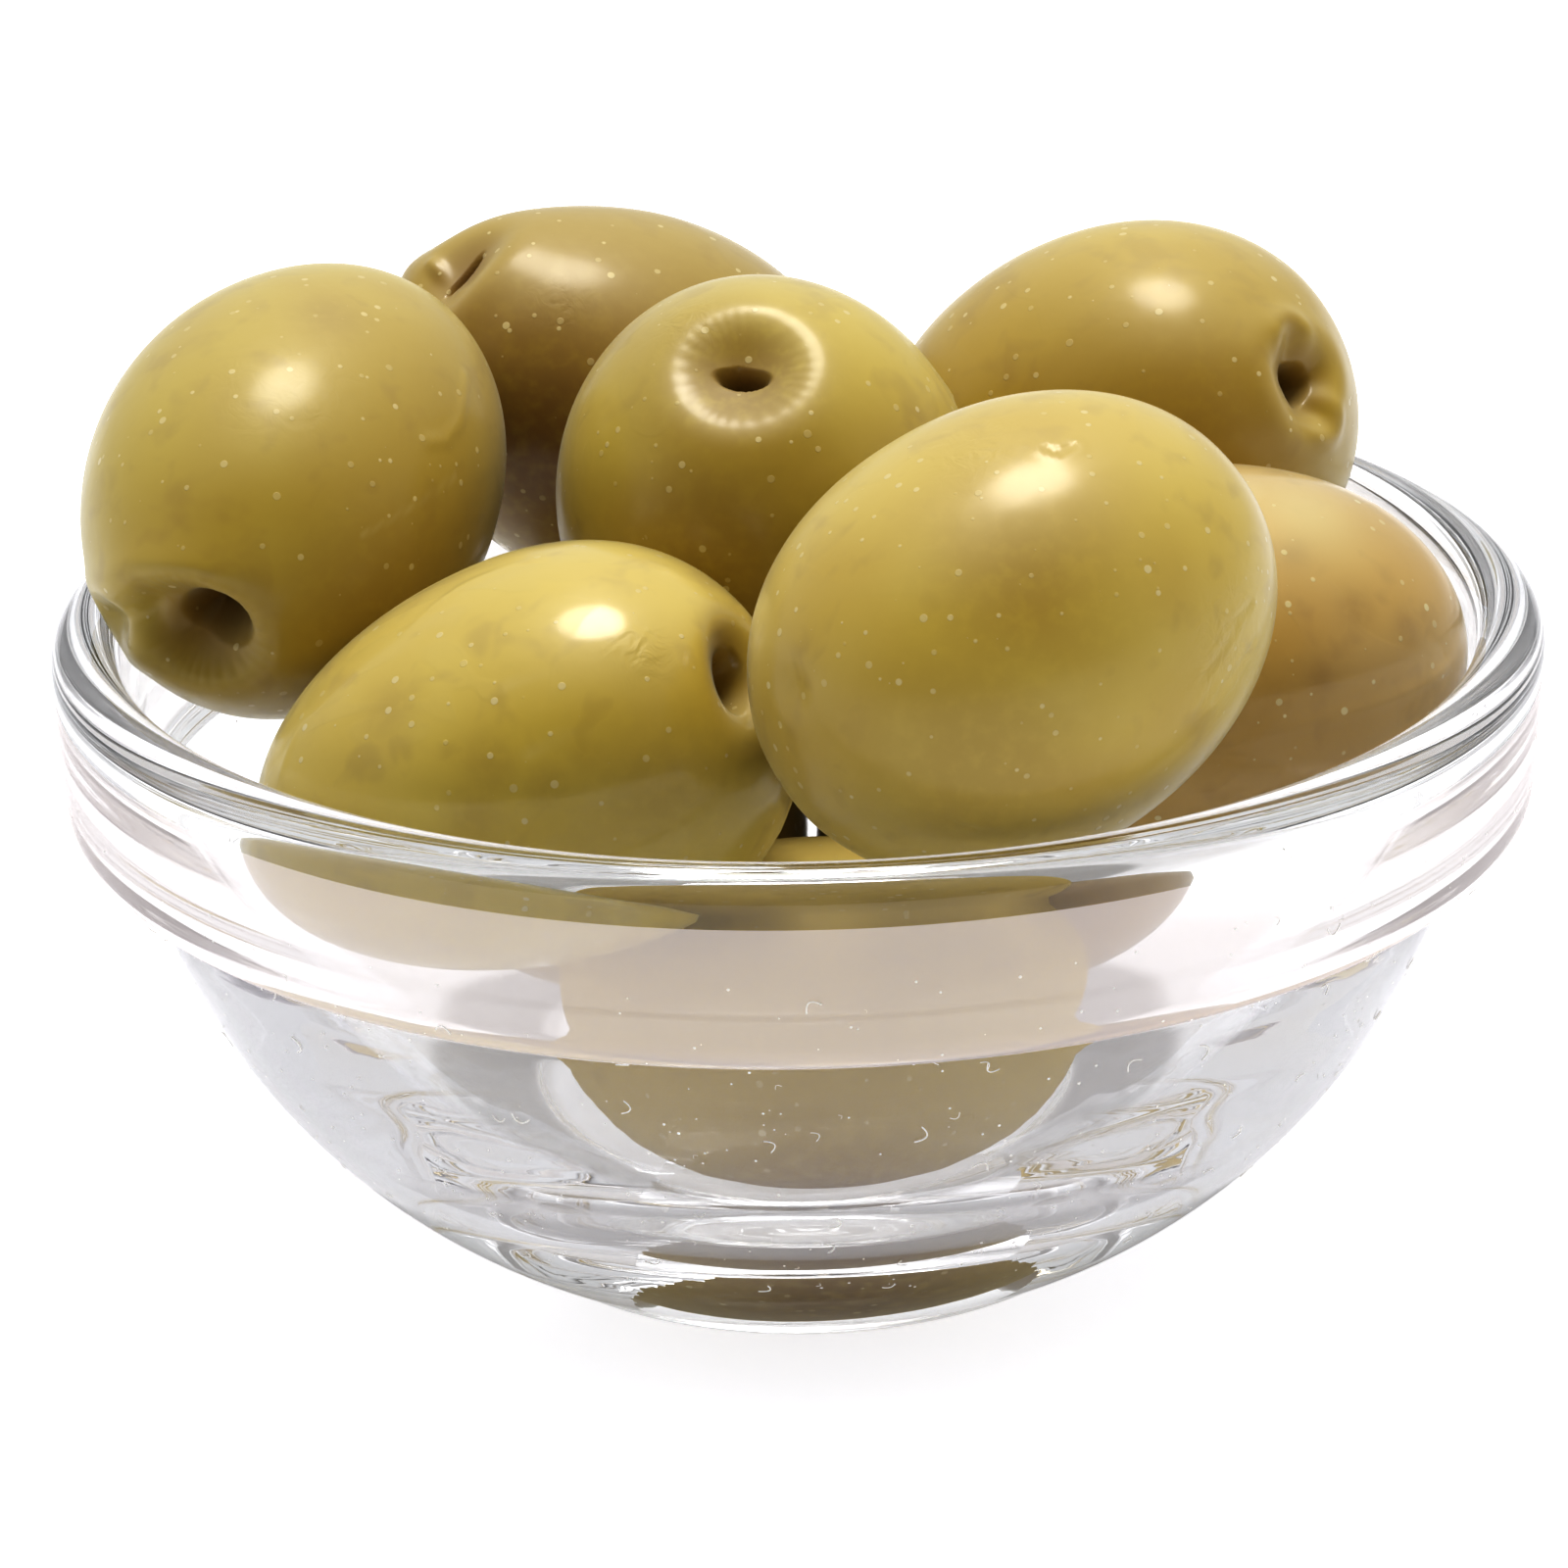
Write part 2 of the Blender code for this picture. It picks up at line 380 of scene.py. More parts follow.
class Olive:
    """The outline of one olive in its own frame, in millimetres, with +Z along the pitted end."""

    def __init__(self, centre, turn, lift, length, width, taper, fullness=2.1):
        self.half_length = length / 2
        self.half_width = width / 2
        tilt = Matrix.Rotation(math.radians(90 - lift), 4, "Y")
        swing = Matrix.Rotation(math.radians(turn), 4, "Z")
        self.place = Matrix.Translation(centre) @ swing @ tilt
        angles = np.concatenate([
            np.linspace(0.0, HOLE_ZONE, RINGS_AT_HOLE, endpoint=False),
            np.linspace(HOLE_ZONE, math.pi, RINGS_OF_BODY),
        ])
        power = 2.0 / fullness
        along = np.sign(np.cos(angles)) * np.abs(np.cos(angles)) ** power
        across = np.clip(np.sin(angles), 0.0, 1.0) ** power * (1.0 + taper * along)
        swung = np.arange(AROUND) * math.tau / AROUND
        self.points = np.stack([
            self.half_width * across[:, None] * np.cos(swung)[None],
            self.half_width * across[:, None] * np.sin(swung)[None],
            self.half_length * along[:, None] * np.ones(AROUND)[None],
        ], axis=-1)
        self.marks = {}
        for mark in ("hole", "bruise", "pale", "wrinkle", "film"):
            self.marks[mark] = np.zeros(self.points.shape[:2])
        self.outward = self.points / np.array([
            self.half_width ** 2, self.half_width ** 2, self.half_length ** 2
        ])
        self.outward /= np.linalg.norm(self.outward, axis=-1, keepdims=True)

    def spot(self, x, y):
        """The place on the skin, in the olive's own frame, that shows at a pixel of the photograph."""
        inward = self.place.inverted()
        start = inward @ (camera_place / MM)
        ray = inward.to_3x3() @ sight_line(x, y)
        size = Vector((self.half_width, self.half_width, self.half_length))
        start_n = Vector([a / b for a, b in zip(start, size)])
        ray_n = Vector([a / b for a, b in zip(ray, size)])
        a, b, c = ray_n.dot(ray_n), start_n.dot(ray_n), start_n.dot(start_n) - 1.0
        depth = (-b - math.sqrt(max(b * b - a * c, 0.0))) / a
        return np.array(start + ray * depth)

    def spots(self, *pixels):
        """The places on the skin that show at several pixels of the photograph."""
        return [self.spot(x, y) for x, y in pixels]

    def facing(self, direction):
        """The place on the skin that faces a direction of the world most squarely."""
        inward = np.array(self.place.to_3x3().inverted() @ Vector(direction).normalized())
        return self.points.reshape(-1, 3)[(self.outward @ inward).argmax()].copy()

    def lumps(self, height, wavelength, seed):
        """Gentle unevenness of the whole body."""
        rng = np.random.default_rng(seed)
        rise = np.zeros(self.points.shape[:2])
        for _ in range(LUMP_WAVES):
            direction = rng.normal(size=3)
            direction *= math.tau / wavelength / np.linalg.norm(direction) * rng.uniform(0.6, 1.4)
            rise += np.sin(self.points @ direction + rng.uniform(0, math.tau))
        self.points += self.outward * (height * rise / math.sqrt(LUMP_WAVES))[..., None]

    def dent(self, centre, radius, depth):
        """A soft hollow, or a swelling where the depth is negative."""
        away = np.linalg.norm(self.points - centre, axis=-1) / radius
        self.points -= self.outward * (depth * np.exp(-away ** 2))[..., None]

    def groove(self, route, width, depth, lips=0.0):
        """A fold or scratch along a route of spots, with raised lips beside it."""
        away = self.distance_to(route) / width
        beside = (away - GROOVE_LIP_AT) / GROOVE_LIP_WIDTH
        fall = depth * np.exp(-away ** 2) - lips * np.exp(-beside ** 2)
        self.points -= self.outward * fall[..., None]

    def distance_to(self, route):
        """How far each point of the skin is from a route of spots."""
        nearest = np.full(self.points.shape[:2], 1e6)
        for start, end in zip(route[:-1], route[1:]):
            step = end - start
            share = np.clip((self.points - start) @ step / max(step @ step, 1e-9), 0.0, 1.0)
            gap = np.linalg.norm(self.points - start - share[..., None] * step, axis=-1)
            nearest = np.minimum(nearest, gap)
        return nearest

    def pit(self, at, radius=2.6, funnel=1.2, depth=4.0, throat=0.5, lip=0.3, along=None, stretch=1.0,
            slit=1.0, lobes=0, lobe_depth=0.0, pleats=0.0, brim=1.2, throat_at=None):
        """The dimple left by the pit, round a spot: a swollen lip, a soft funnel and a narrow throat."""
        nearest = np.linalg.norm(self.points - at, axis=-1).argmin()
        axis = self.outward.reshape(-1, 3)[nearest]
        guide = np.array([0.0, 1.0, 0.0]) if along is None else along
        side = guide - axis * (guide @ axis)
        side /= np.linalg.norm(side)
        offset = self.points - at
        across = offset @ side / stretch
        over = offset @ np.cross(axis, side)
        angle = np.arctan2(over, across)
        reach = radius * (1.0 + lobe_depth * np.cos(lobes * angle))
        front = self.outward @ axis > TURNED_AWAY
        share = np.where(front, np.hypot(across, over) / reach, FAR_AWAY)
        inner = self.points - (at if throat_at is None else throat_at)
        inner_over = inner @ np.cross(axis, side) / slit
        narrow = np.where(front, np.hypot(inner @ side / stretch, inner_over) / reach, FAR_AWAY)
        sink = np.exp(-(share / (FUNNEL_WIDTH * brim)) ** 2)
        shaft = np.clip((throat - narrow) / (THROAT_EASE * throat), 0.0, 1.0)
        shaft = shaft ** 2 * (3.0 - 2.0 * shaft)
        rise = lip * np.exp(-((share - brim) / LIP_WIDTH) ** 2)
        folds = pleats * np.cos(PLEAT_COUNT * angle + 3 * np.sin(3 * angle))
        folds *= np.exp(-((share - PLEAT_AT) / PLEAT_WIDTH) ** 2)
        fall = funnel * sink + (depth - funnel) * shaft - rise - folds
        self.points -= axis * fall[..., None]
        # painted shade: the inside of the hole is marked to be darkened, in the brown of the flesh
        self.marks["hole"] = np.maximum(self.marks["hole"], np.clip(1.0 - share, 0.0, 1.0))

    def shade(self, name, centre, radius, amount):
        """Marks a soft round zone of the skin for the material."""
        away = np.linalg.norm(self.points - centre, axis=-1) / radius
        self.marks[name] = np.maximum(self.marks[name], amount * np.exp(-away ** 2))

    def line(self, name, route, width, amount):
        """Marks a thin line of the skin for the material."""
        away = self.distance_to(route) / width
        self.marks[name] = np.maximum(self.marks[name], amount * np.exp(-away ** 2))

    def finish(self, node, **look):
        """Builds the mesh in its place, gives it its skin and says which node it stands for."""
        name = node + "_flesh"
        rings = len(self.points)
        bent = np.concatenate([
            self.points[:1].mean(axis=1), self.points[1:-1].reshape(-1, 3), self.points[-1:].mean(axis=1),
        ])
        world = np.array(self.place.to_3x3()) @ bent.T + np.array(self.place.translation)[:, None]
        faces = []
        last = 1 + (rings - 2) * AROUND
        for column in range(AROUND):
            beside = (column + 1) % AROUND
            faces.append((0, 1 + column, 1 + beside))
            for ring in range(rings - 3):
                row = 1 + ring * AROUND
                faces.append((row + column, row + AROUND + column, row + AROUND + beside, row + beside))
            row = 1 + (rings - 3) * AROUND
            faces.append((row + column, last, row + beside))
        mesh = bpy.data.meshes.new(name)
        mesh.from_pydata((world.T * MM).tolist(), [], faces)
        for mark, field in self.marks.items():
            values = np.concatenate([field[:1, 0], field[1:-1].ravel(), field[-1:, 0]])
            layer = mesh.attributes.new(mark, "FLOAT", "POINT")
            layer.data.foreach_set("value", values.astype(np.float32))
        mesh.shade_smooth()
        mesh.materials.append(skin_material(node + "_skin", **look))
        olive = new_object(name, mesh)
        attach(olive, "root")
        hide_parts(node)
        return olive


def ramp(tree, value, low, high, to_low=0.0, to_high=1.0):
    """An eased step from one value to another, between two values of its input."""
    return add_node(tree, "ShaderNodeMapRange", {
        "Value": value,
        "From Min": low,
        "From Max": high,
        "To Min": to_low,
        "To Max": to_high,
    }, interpolation_type="SMOOTHSTEP").outputs["Result"]


def skin_group():
    """The pattern of olive skin: painted shade and sheen, bruises, pores and brine film, for every olive's
    material.
    """
    group = node_group("olive_skin_pattern", "ShaderNodeTree", {
        "Light Colour": (0.46, 0.38, 0.07, 1.0),
        "Deep Colour": (0.32, 0.24, 0.03, 1.0),
        "Bruise And Shade Colour": (0.27, 0.14, 0.02, 1.0),
        "Pore Colour": (0.72, 0.60, 0.28, 1.0),
        "Painted Top Sheen Colour": (0.86, 0.80, 0.46, 1.0),
        "Mottle Amount": 0.6,
        "Bruise Amount": 0.2,
        "Pore Amount": 0.5,
        "Film Amount": 0.5,
        "Skin Roughness": 0.3,
        "Offset": (0.0, 0.0, 0.0),
    }, {"Colour": "Color", "Roughness": "Float", "Wetness": "Float", "Height": "Float"})
    given = add_node(group, "NodeGroupInput").outputs
    place = add_node(group, "ShaderNodeTexCoord").outputs["Object"]
    moved = add_node(group, "ShaderNodeVectorMath", {0: place, 1: given["Offset"]}).outputs["Vector"]

    def noise(scale, detail=2.0, distortion=0.0):
        return add_node(group, "ShaderNodeTexNoise", {
            "Vector": moved,
            "Scale": scale,
            "Detail": detail,
            "Distortion": distortion,
        }).outputs["Fac"]

    def times(first, second):
        return maths(group, "MULTIPLY", first, second)

    def blend(share, first, second):
        mix = {"Factor": share, 6: first, 7: second}
        return add_node(group, "ShaderNodeMix", mix, data_type="RGBA").outputs[2]

    def mark(name):
        return add_node(group, "ShaderNodeAttribute", attribute_name=name).outputs["Fac"]

    # broad mottling, then brown patches, bruises and painted shade, in marked places and inside the hole
    broad = times(ramp(group, noise(MOTTLE_SCALE, 2.0, 0.2), 0.38, 0.66), given["Mottle Amount"])
    colour = blend(broad, given["Light Colour"], given["Deep Colour"])
    grain = noise(GRAIN_SCALE)
    patches_and_shade = times(ramp(group, noise(PATCH_SCALE, 2.0, 0.3), 0.50, 0.74), given["Bruise Amount"])
    bruises = times(mark("bruise"), ramp(group, grain, 0.2, 0.6, 0.6, 1.0))
    patches_and_shade = maths(group, "MAXIMUM", patches_and_shade, bruises)
    patches_and_shade = maths(group, "MAXIMUM", patches_and_shade, mark("hole"))
    colour = blend(patches_and_shade, colour, given["Bruise And Shade Colour"])
    colour = blend(mark("pale"), colour, given["Pore Colour"])
    # painted sheen: the upper side is blended toward a pale colour, for the light that falls on it
    lie = add_node(group, "ShaderNodeNewGeometry").outputs["Normal"]
    upward = add_node(group, "ShaderNodeSeparateXYZ", {0: lie}).outputs["Z"]
    colour = blend(ramp(group, upward, 0.45, 1.0, 0.0, 0.17), colour, given["Painted Top Sheen Colour"])
    # pores, each of its own size and paleness
    pores = add_node(group, "ShaderNodeTexVoronoi", {"Vector": moved, "Scale": PORE_SCALE})
    chance = add_node(group, "ShaderNodeSeparateColor", {0: pores.outputs["Color"]})
    size = ramp(group, chance.outputs["Green"], 0.0, 1.0, 0.05, 0.22)
    dots = ramp(group, maths(group, "SUBTRACT", size, pores.outputs["Distance"]), 0.0, 0.05)
    strength = times(given["Pore Amount"], ramp(group, chance.outputs["Blue"], 0.0, 1.0, 0.5, 1.2))
    colour = blend(times(dots, strength), colour, given["Pore Colour"])

    # the film of brine, the grain of the skin, pores and wrinkles as relief
    film = times(ramp(group, noise(BRINE_SCALE, 2.0, 0.8), 0.53, 0.56), given["Film Amount"])
    wet = maths(group, "MAXIMUM", film, mark("film"))
    edge = maths(group, "MAXIMUM", times(film, 0.4), mark("film"))
    height = maths(group, "ADD", times(grain, 0.08), times(dots, 0.20))
    height = maths(group, "ADD", height, times(noise(RELIEF_SCALE, 1.0), 0.40))
    height = maths(group, "ADD", height, times(edge, 0.35))
    creases = times(times(noise(CREASE_SCALE, 2.0, 1.6), mark("wrinkle")), 1.8)
    spread = times(maths(group, "SUBTRACT", grain, 0.5), 0.16)
    add_node(group, "NodeGroupOutput", {
        "Colour": colour,
        "Roughness": maths(group, "ADD", given["Skin Roughness"], spread),
        "Wetness": maths(group, "ADD", times(wet, 0.4), 0.6),
        "Height": maths(group, "ADD", height, creases),
    })
    return group


SKIN_PATTERN = skin_group()


def skin_material(name, light, deep, offset, bruise=0.2, film=0.5, pores=0.75, gloss=0.14, wax=0.18):
    """Waxy olive skin under a film of brine, with a painted sheen that lightens its upper side."""
    skin = new_material(name)
    tree = skin.node_tree
    pattern = add_node(tree, "ShaderNodeGroup", {
        "Light Colour": (*light, 1.0),
        "Deep Colour": (*deep, 1.0),
        "Bruise Amount": bruise,
        "Film Amount": film,
        "Pore Amount": pores,
        "Mottle Amount": MOTTLE,
        "Skin Roughness": DRY_ROUGHNESS + GLOSS_SHARE * gloss,
        "Offset": offset,
    }, node_tree=SKIN_PATTERN).outputs
    bump = add_node(tree, "ShaderNodeBump", {
        "Strength": RELIEF_STRENGTH,
        "Distance": RELIEF_HEIGHT,
        "Height": pattern["Height"],
    })
    set_shader(skin, {
        "Base Color": pattern["Colour"],
        "Roughness": pattern["Roughness"],
        "Coat Weight": pattern["Wetness"],
        "Coat Roughness": gloss,
        "Coat IOR": SKIN_IOR,
        "Sheen Weight": wax,
        "Sheen Roughness": 0.5,
        "Sheen Tint": (*WAX_TINT, 1.0),
        "IOR": SKIN_IOR,
        "Specular IOR Level": 0.7,
        "Normal": bump.outputs["Normal"],
    })
    return skin


left = Olive(
    centre=(-20.1, 1.5, 31.4), turn=-109, lift=-16, length=22.0, width=16.4, taper=0.0, fullness=2.0)
left.lumps(0.10, 17.0, seed=1)
left.pit(left.spot(194, 652), radius=2.6, funnel=2.1, depth=4.8, throat=0.62, lip=0.30, pleats=0.01,
         lobes=2, lobe_depth=0.10, throat_at=left.spot(208, 642))
left.groove(left.spots((190, 628), (150, 622), (103, 640)), width=0.9, depth=0.75, lips=0.14)
left.dent(left.spot(110, 638), 0.9, 0.35)
left.dent(left.spot(268, 655), 1.6, -0.20)
left.groove(left.spots((475, 384), (470, 430), (455, 449), (436, 451)), width=0.22, depth=-0.07)
left.line("pale", left.spots((370, 546), (418, 518), (465, 486)), 0.12, 0.22)
left.shade("bruise", left.spot(335, 320), 1.6, 0.30)
left.shade("bruise", left.spot(380, 600), 3.5, 0.30)
left.shade("wrinkle", left.spot(300, 390), 2.6, 0.35)
left.finish(
    "olive_left", light=(0.55, 0.41, 0.055), deep=(0.43, 0.27, 0.015), offset=(0.0, 0.0, 0.0),
    film=0.3, gloss=0.24)


# Back left olive
# A green olive with its pitted end folded over, so that its hole is nearly shut. It lies on the back of
# the rim behind the left one, and its foot, between its neighbours, is darkened with painted shade.
back_left = Olive(
    centre=(-6.9, 18.2, 29.2), turn=-160, lift=31, length=21.5, width=16.0, taper=-0.05)
back_left.lumps(0.10, 15.0, seed=2)
back_left.pit(back_left.spot(466, 272), radius=1.7, funnel=0.75, depth=1.7, throat=0.5, lip=0.20,
              along=back_left.spot(513, 240) - back_left.spot(452, 307), stretch=1.7, slit=0.32)
back_left.dent(back_left.spot(425, 284), 1.5, -0.5)
back_left.groove(back_left.spots((462, 291), (444, 272)), width=0.35, depth=-0.22)
# painted shade: its foot, deep between its neighbours, is darkened
back_left.shade("bruise", back_left.spot(560, 470), 7.0, 1.0)
back_left.shade("wrinkle", back_left.spot(572, 305), 1.2, 0.4)
back_left.finish(
    "olive_back_left", light=(0.50, 0.35, 0.045), deep=(0.36, 0.22, 0.01), offset=(0.3, 0.1, 0.0),
    gloss=0.24)


# Centre olive
# A green olive whose hole kept its round lip, drawn into fine pleats. It stands nearly upright, wedged
# between the others, so that the hole shows whole.
centre = Olive(
    centre=(-1.0, 2.1, 29.8), turn=-103, lift=57, length=20.7, width=17.0, taper=0.05)
centre.lumps(0.07, 16.0, seed=3)
centre.pit(centre.spot(755, 370), radius=2.5, funnel=1.3, depth=3.3, throat=0.50, lip=0.10, slit=0.46,
           pleats=0.003, brim=1.36)
centre.groove(centre.spots((940, 340), (962, 368), (972, 402)), width=0.25, depth=-0.09)
centre.shade("bruise", centre.spot(720, 560), 4.0, 0.45)
# painted shade, in the brown of the flesh, darkens the funnel of the hole
centre.shade("bruise", centre.spot(755, 380), 2.9, 0.95)
centre.shade("wrinkle", centre.spot(700, 330), 1.3, 0.7)
centre.finish(
    "olive_centre", light=(0.61, 0.46, 0.06), deep=(0.38, 0.235, 0.01), offset=(0.0, 0.4, 0.2), gloss=0.24)


# Front left olive
# A yellow-green olive with raised scars, pale scratches and small bruises, most of it under a film of
# brine. It lies along the front wall, its hole pressed against its neighbour.
front_left = Olive(
    centre=(-10.7, -12.9, 24.6), turn=0, lift=21, length=21.7, width=16.4, taper=0.10)
front_left.lumps(0.10, 15.0, seed=4)
front_left.pit(front_left.spot(764, 686), radius=2.2, funnel=1.6, depth=3.4, throat=0.60, lip=0.14,
               along=front_left.spot(744, 640) - front_left.spot(744, 700), stretch=1.2)
front_left.groove(front_left.spots((282, 788), (298, 742), (328, 711)), width=0.22, depth=-0.08)
front_left.groove(front_left.spots((806, 812), (790, 846), (752, 872)), width=0.25, depth=-0.10)
front_left.groove(front_left.spots((410, 640), (470, 598), (540, 578)), width=0.25, depth=-0.07)
for x0, y0, x1, y1 in ((565, 753, 642, 727), (600, 748, 650, 718), (540, 770, 585, 748),
                       (520, 700, 560, 690)):
    front_left.line("pale", front_left.spots((x0, y0), (x1, y1)), 0.22, 0.30)
for x, y, reach in ((500, 780, 1.3), (560, 800, 1.0), (600, 770, 0.9), (480, 830, 1.2), (395, 720, 1.3)):
    front_left.shade("bruise", front_left.spot(x, y), reach, 0.26)
front_left.shade("bruise", front_left.spot(670, 800), 4.0, 0.22)
front_left.shade("wrinkle", front_left.spot(652, 668), 1.0, 1.0)
front_left.shade("wrinkle", front_left.spot(390, 600), 1.4, 0.8)
front_left.finish(
    "olive_front_left", light=(0.69, 0.53, 0.085), deep=(0.56, 0.385, 0.035), offset=(0.5, 0.0, 0.1),
    bruise=0.22, film=0.8, gloss=0.15)


# Front right olive
# The largest and palest olive, with a nick on top and small folds at its right end. It leans on the
# front wall and the olive beside it, with its hole turned down.
front_right = Olive(
    centre=(8.2, -18.3, 32.0), turn=-158, lift=-26, length=21.0, width=17.3, taper=0.03)
front_right.lumps(0.07, 17.0, seed=5)
front_right.pit(front_right.facing((-0.85, 0.20, -0.62)), radius=2.2, funnel=0.8, depth=3.6, throat=0.5,
                lip=0.1)
front_right.dent(front_right.spot(812, 706), 1.1, 0.28)
# a hair flatter on top, so that it stays inside the solids' box
front_right.dent(front_right.facing((0.0, 0.0, 1.0)), 3.0, 0.02)
front_right.groove(front_right.spots((1066, 454), (1080, 460), (1096, 452)), width=0.16, depth=0.10,
                   lips=0.05)
for x0, y0, x1, y1 in ((1230, 690, 1262, 640), (1240, 714, 1280, 655), (1252, 640, 1276, 616),
                       (1222, 730, 1240, 700)):
    front_right.groove(front_right.spots((x0, y0), (x1, y1)), width=0.16, depth=0.06, lips=0.02)
# painted shade darkens its middle and its underside
front_right.shade("bruise", front_right.spot(1050, 590), 3.9, 0.36)
front_right.shade("bruise", front_right.spot(1000, 775), 4.5, 0.30)
front_right.shade("wrinkle", front_right.spot(1255, 665), 2.2, 0.9)
front_right.shade("wrinkle", front_right.spot(1000, 450), 1.8, 0.6)
front_right.finish(
    "olive_front_right", light=(0.64, 0.475, 0.075), deep=(0.48, 0.30, 0.02), offset=(0.2, 0.6, 0.3),
    film=0.3, gloss=0.22)


# Back right olive
# A green olive whose hole tore into three lobes when the pit was pushed out. It rests on the back of
# the rim and points the hole to the right.
back_right = Olive(
    centre=(13.3, 13.4, 29.3), turn=-19, lift=21, length=20.5, width=16.6, taper=0.07)
back_right.lumps(0.08, 16.0, seed=6)
back_right.pit(back_right.spot(1332, 388), radius=2.0, funnel=1.3, depth=3.4, throat=0.52, lip=0.22,
               lobes=3, lobe_depth=0.08)
back_right.groove(back_right.spots((1322, 362), (1316, 344)), width=0.5, depth=0.30, lips=0.08)
back_right.groove(back_right.spots((1336, 410), (1350, 428)), width=0.5, depth=0.25, lips=0.08)
back_right.shade("bruise", back_right.spot(1220, 410), 3.4, 0.30)
back_right.finish(
    "olive_back_right", light=(0.57, 0.41, 0.05), deep=(0.41, 0.25, 0.01), offset=(0.7, 0.2, 0.0),
    film=0.3, gloss=0.22)


# Right olive
# The brownest olive, with a pale dried patch and a long raised scar. It lies against the right wall,
# half covered, its hole hidden under its neighbours.
right = Olive(
    centre=(16.4, -3.3, 24.9), turn=-166, lift=-2, length=21.2, width=16.5, taper=0.07, fullness=2.0)
right.lumps(0.08, 15.0, seed=7)
right.pit(right.facing((-0.97, -0.24, -0.03)))
right.groove(right.spots((1242, 762), (1330, 740), (1420, 716), (1482, 680)), width=0.25, depth=-0.06)
right.shade("pale", right.spot(1330, 520), 2.4, 0.55)
right.shade("pale", right.spot(1275, 500), 1.6, 0.45)
right.shade("film", right.spot(1330, 520), 2.8, 1.0)
for x, y, reach in ((1320, 560, 0.8), (1385, 620, 0.9), (1350, 690, 0.7), (1440, 640, 0.8)):
    right.shade("bruise", right.spot(x, y), reach, 0.35)
right.finish(
    "olive_right", light=(0.61, 0.395, 0.09), deep=(0.48, 0.28, 0.04), offset=(0.1, 0.8, 0.5),
    film=0.8, pores=1.0, gloss=0.16)


# Low front olive
# An olive that lies in brine on the floor of the bowl, at the front, and shows only through the glass.
# The brine takes the gloss and the waxy bloom off its skin.
low_front = Olive(
    centre=(0.8, -9.13, 11.65), turn=174, lift=-3, length=21.6, width=16.0, taper=0.02, fullness=2.2)
low_front.lumps(0.06, 16.0, seed=8)
low_front.pit(low_front.facing((-0.99, 0.10, -0.05)))
# painted shade darkens the underside
low_front.shade("bruise", low_front.facing((0.0, -0.6, -0.8)), 6.0, 0.85)
low_front_flesh = low_front.finish(
    "olive_low_front", light=(0.68, 0.51, 0.13), deep=(0.56, 0.40, 0.07), offset=(0.9, 0.3, 0.1),
    gloss=0.5, wax=0.0)
wet_skin = low_front_flesh.data.materials[0]
wet_coat = wet_skin.node_tree.nodes["Principled BSDF"].inputs["Coat Weight"]
wet_skin.node_tree.links.remove(wet_coat.links[0])
set_shader(wet_skin, {"Coat Weight": 0.0, "Specular IOR Level": 0.1})


# Low back left olive
# A plain green olive on the floor of the bowl that carries the back of the heap. The photograph hides
# it, and it shows through the glass from behind.
low_back_left = Olive(
    centre=(-8.0, 8.0, 13.3), turn=88, lift=40, length=20.9, width=16.6, taper=0.01)
low_back_left.lumps(0.08, 15.0, seed=9)
low_back_left.pit(low_back_left.facing((0.03, 0.77, 0.64)), throat=0.45)
low_back_left.finish(
    "olive_low_back_left", light=(0.57, 0.42, 0.08), deep=(0.44, 0.27, 0.03), offset=(0.4, 0.9, 0.7))


# Low back right olive
# A browner olive beside the last one, which carries the heap with it. The photograph hides it too, and
# it shows through the glass from behind.
low_back_right = Olive(
    centre=(8.8, 7.2, 13.1), turn=98, lift=23, length=20.6, width=16.2, taper=0.0)
low_back_right.lumps(0.08, 15.0, seed=10)
low_back_right.pit(low_back_right.facing((-0.13, 0.91, 0.39)), radius=2.4, funnel=1.1, throat=0.45)
low_back_right.finish(
    "olive_low_back_right", light=(0.50, 0.33, 0.09), deep=(0.38, 0.22, 0.03), offset=(0.6, 0.5, 0.9))


# Brine between olives and glass
# Where the lowest olive lies close to the wall, a little brine clings between them. It lets the eye pass
# from glass to olive without a mirror in the way, so that place shows clear, dark and lens-shaped.
BRINE_IOR = 1.34
BRINE_GAP = 1.7 * MM
BRINE_TOP = 12.0 * MM
BRINE_MIDDLE = 0.9 * MM
BRINE_HALF_WIDTH = 10.2 * MM
WALL_TOLERANCE = 0.1 * MM


def inner_wall(points):
    """True for the points that lie on the hollow side of the bowl."""
    from_centre = np.linalg.norm(points - np.array([0.0, 0.0, INNER_HEIGHT]), axis=1)
    above_floor = points[:, 2] > FLOOR_THICKNESS - WALL_TOLERANCE
    return (from_centre < INNER_RADIUS + WALL_TOLERANCE) & above_floor


def brine_reach(points, olive):
    """How far each point of the wall is past the edge of the clinging brine; negative inside it."""
    skin = bmesh.new()
    skin.from_mesh(olive.data)
    tree = BVHTree.FromBMesh(skin)
    skin.free()
    gaps = [tree.find_nearest(Vector(point))[3] for point in points]
    sideways = (points[:, 0] - BRINE_MIDDLE) / BRINE_HALF_WIDTH
    edge = BRINE_GAP * np.sqrt(np.clip(1.0 - sideways ** 2, 0.0, 1.0))
    return np.where(points[:, 2] < BRINE_TOP, np.array(gaps) - edge, 1.0 * MM)


